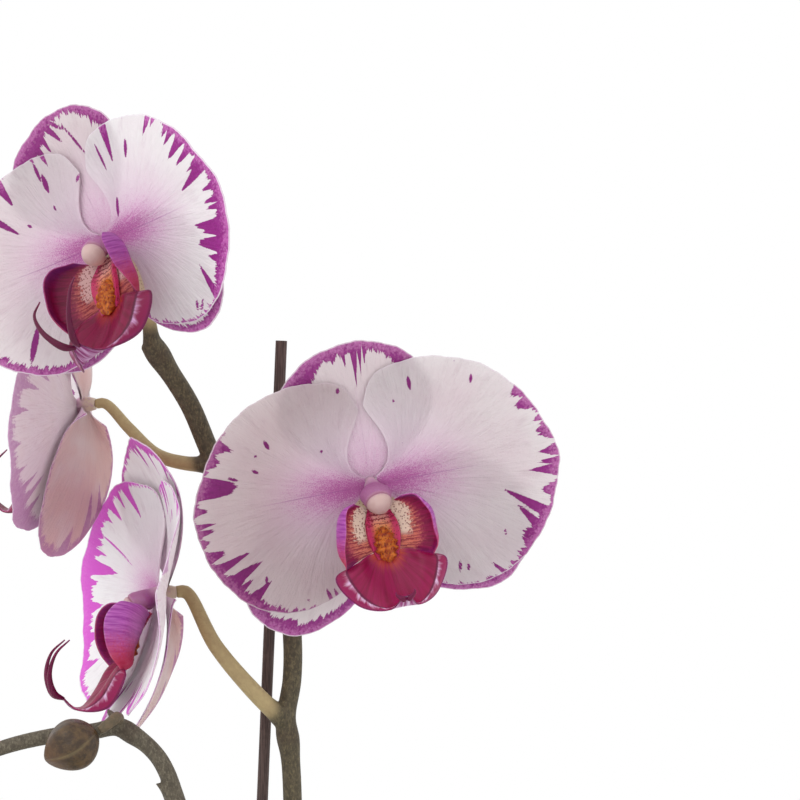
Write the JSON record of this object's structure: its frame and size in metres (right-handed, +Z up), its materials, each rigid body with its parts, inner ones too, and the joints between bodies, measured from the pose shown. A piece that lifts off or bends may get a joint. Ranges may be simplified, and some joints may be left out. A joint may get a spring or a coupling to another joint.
{
  "type": "potted moth orchid",
  "caption": "Moth orchid in a plain pot: an arching spike of white blooms streaked and edged with magenta, held to a stake, with a younger spike in bud and strap leaves.",
  "frame": {"origin": "centre of the pot's flat foot, on the surface it stands on", "axes": "+Z up; the blooms face -Y, which is the picture's viewing side; +X to the viewer's right"},
  "size_m": [0.3309, 0.1631, 0.5702],
  "materials": {
    "pot": "satin",
    "bark": "rough",
    "crown": "matte",
    "leaf": "satin",
    "stem": "matte",
    "bud": "satin",
    "stake": "matte",
    "clip": "satin",
    "petal": "satin",
    "sepal": "satin",
    "lip": "satin",
    "column": "satin"
  },
  "bodies": {
    "root": {"pot": "pot", "bark_mix": "bark", "crown_and_roots": "crown", "leaf_1": "leaf", "leaf_2": "leaf", "leaf_3": "leaf", "leaf_4": "leaf", "leaf_5": "leaf", "leaf_6": "leaf", "stake": "stake", "flower_spike": "stem", "side_spike": "stem", "bud_1": "bud", "bud_2": "bud", "bud_3": "bud", "bud_4": "bud", "clip": "clip", "bloom_1_petal_right": "petal", "bloom_1_petal_left": "petal", "bloom_1_dorsal_sepal": "sepal", "bloom_1_lateral_sepal_right": "sepal", "bloom_1_lateral_sepal_left": "sepal", "bloom_1_lip": "lip", "bloom_1_column": "column", "bloom_2_petal_right": "petal", "bloom_2_petal_left": "petal", "bloom_2_dorsal_sepal": "sepal", "bloom_2_lateral_sepal_right": "sepal", "bloom_2_lateral_sepal_left": "sepal", "bloom_2_lip": "lip", "bloom_2_column": "column", "bloom_3_petal_right": "petal", "bloom_3_petal_left": "petal", "bloom_3_dorsal_sepal": "sepal", "bloom_3_lateral_sepal_right": "sepal", "bloom_3_lateral_sepal_left": "sepal", "bloom_3_lip": "lip", "bloom_3_column": "column", "bloom_4_petal_right": "petal", "bloom_4_petal_left": "petal", "bloom_4_dorsal_sepal": "sepal", "bloom_4_lateral_sepal_right": "sepal", "bloom_4_lateral_sepal_left": "sepal", "bloom_4_lip": "lip", "bloom_4_column": "column"}
  },
  "joints": []
}
